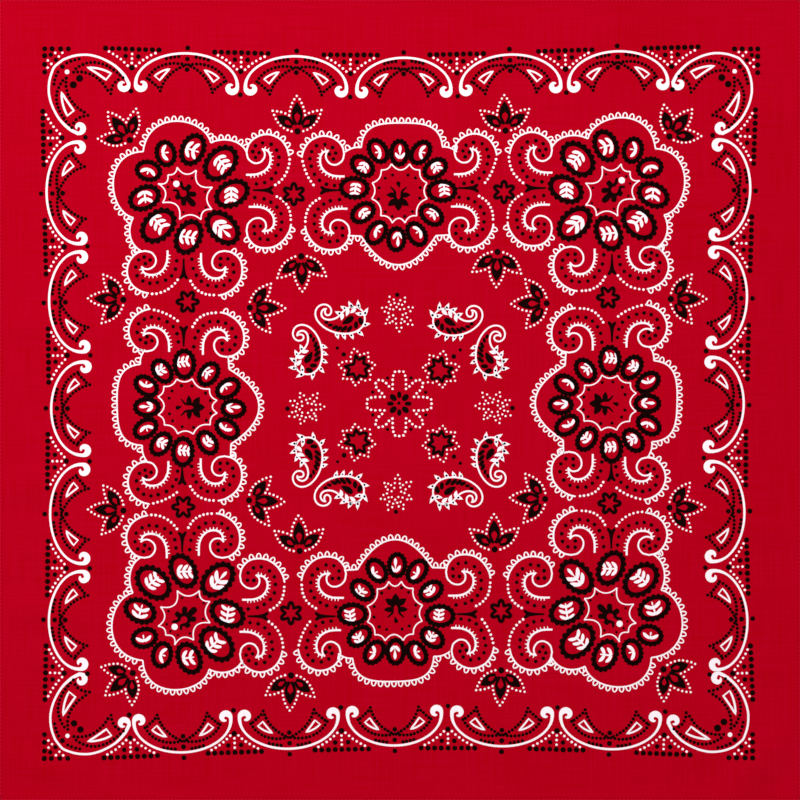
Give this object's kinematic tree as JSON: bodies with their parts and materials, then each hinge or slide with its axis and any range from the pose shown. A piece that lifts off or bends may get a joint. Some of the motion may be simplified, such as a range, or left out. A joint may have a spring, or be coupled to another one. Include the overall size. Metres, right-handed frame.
{
  "type": "bandana",
  "caption": "Square cotton bandana laid flat, red with a traditional white and black floral and paisley print and a narrow stitched hem.",
  "frame": {"origin": "centre of the square, on the surface that the cloth lies on", "axes": "+Z out of the printed side, +X to its right, +Y to its top"},
  "size_m": [0.559, 0.559, 0.0025],
  "materials": {
    "printed_cotton": "matt plain-weave cotton, printed",
    "hem_cotton": "matt plain-weave cotton, turned and stitched",
    "white_print": "matt white screen print on cotton",
    "black_print": "matt black screen print on cotton",
    "sewing_thread": "spun polyester sewing thread"
  },
  "bodies": {
    "root": {"cloth_panel": "printed_cotton", "hem_top": "hem_cotton", "hem_bottom": "hem_cotton", "hem_left": "hem_cotton", "hem_right": "hem_cotton"}
  },
  "joints": []
}
